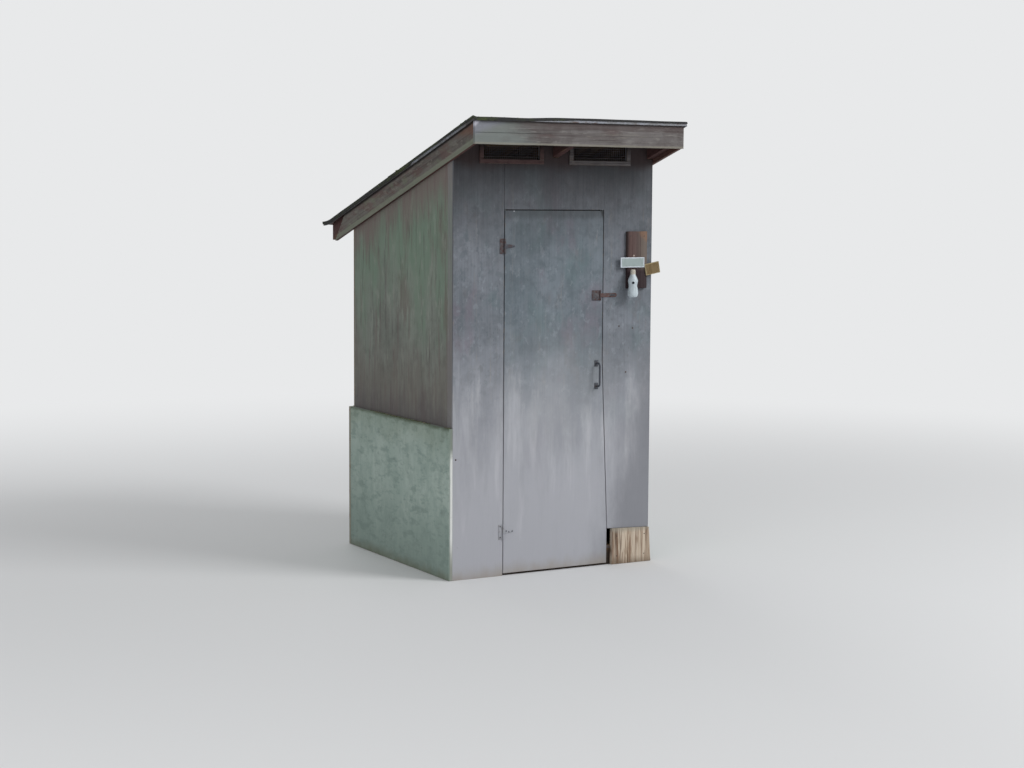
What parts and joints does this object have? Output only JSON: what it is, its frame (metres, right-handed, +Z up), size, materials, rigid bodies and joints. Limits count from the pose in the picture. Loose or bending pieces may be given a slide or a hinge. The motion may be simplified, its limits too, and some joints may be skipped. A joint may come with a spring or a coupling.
{
  "type": "wooden outhouse",
  "caption": "Single-slope plywood outhouse on a light timber frame, with an outward-opening flush door, a hasp and vents under the eaves",
  "frame": {"origin": "on the ground plane, under the middle of the four walls", "axes": "+Z up, the front wall with the door faces -Y, +X to the right as seen from the front"},
  "size_m": [1.2934, 1.8564, 2.3978],
  "materials": {
    "wall_paint": "weathered matt blue-grey paint on plywood",
    "side_paint": "weathered dark grey-green paint on plywood",
    "skirt_paint": "light grey-green paint, mottled with mould",
    "framing": "bare sawn softwood, darkened",
    "roof_timber": "old red-brown paint on rafters",
    "roof_board": "grey weathered board with remains of red paint",
    "deck_board": "dark weathered plywood",
    "felt": "mineral-faced rolled roofing, mossy",
    "drip_metal": "bare sheet metal",
    "rusty_iron": "rusted iron",
    "dark_iron": "worn dark iron",
    "patch_wood": "bare pale board with brown streaks",
    "backboard_wood": "brown weathered board",
    "sign_white": "white painted board, bare",
    "sign_tan": "tan wooden board, bare",
    "bottle_white": "white bottle, matt"
  },
  "bodies": {
    "building": {"floor_joists": "framing", "floor_sheet": "framing", "front_corner_posts": "framing", "rear_corner_posts": "framing", "door_posts": "framing", "door_header": "framing", "front_plate": "framing", "rear_plate": "framing", "wall_girts": "framing", "left_rafter": "roof_timber", "middle_rafter": "roof_timber", "right_rafter": "roof_timber", "vent_frames": "roof_timber", "front_wall_left": "wall_paint", "front_wall_header": "wall_paint", "front_wall_right": "wall_paint", "side_wall_left": "side_paint", "side_wall_right": "side_paint", "rear_wall": "side_paint", "skirt_left": "skirt_paint", "skirt_right": "skirt_paint", "skirt_rear": "skirt_paint", "patch_board": "patch_wood", "roof_deck": "deck_board", "roofing": "felt", "drip_edge": "drip_metal", "front_fascia": "roof_board", "rake_board_left": "roof_board", "rake_board_right": "roof_board", "wall_hinge_leaves": "rusty_iron", "hasp_staple": "rusty_iron", "ornament_nail": "rusty_iron", "sign_backboard": "backboard_wood", "level_sign": "sign_white", "tilted_sign": "sign_tan", "bottle_ornament": "bottle_white"},
    "door": {"door_panel": "wall_paint", "door_ledges": "framing", "door_hinge_straps": "rusty_iron", "door_handle": "dark_iron", "hasp_leaf": "rusty_iron"},
    "flap": {"hasp_flap": "rusty_iron"}
  },
  "joints": [
    {"name": "door_swing", "type": "hinge", "parent": "building", "child": "door", "pos_m": [-0.3085, -0.6155, 0.99], "axis": [0, 0, -1], "range_deg": [0, 110]},
    {"name": "hasp_swing", "type": "hinge", "parent": "door", "child": "flap", "pos_m": [0.281, -0.6145, 1.473], "axis": [0, 0, -1], "range_deg": [0, 165]}
  ]
}
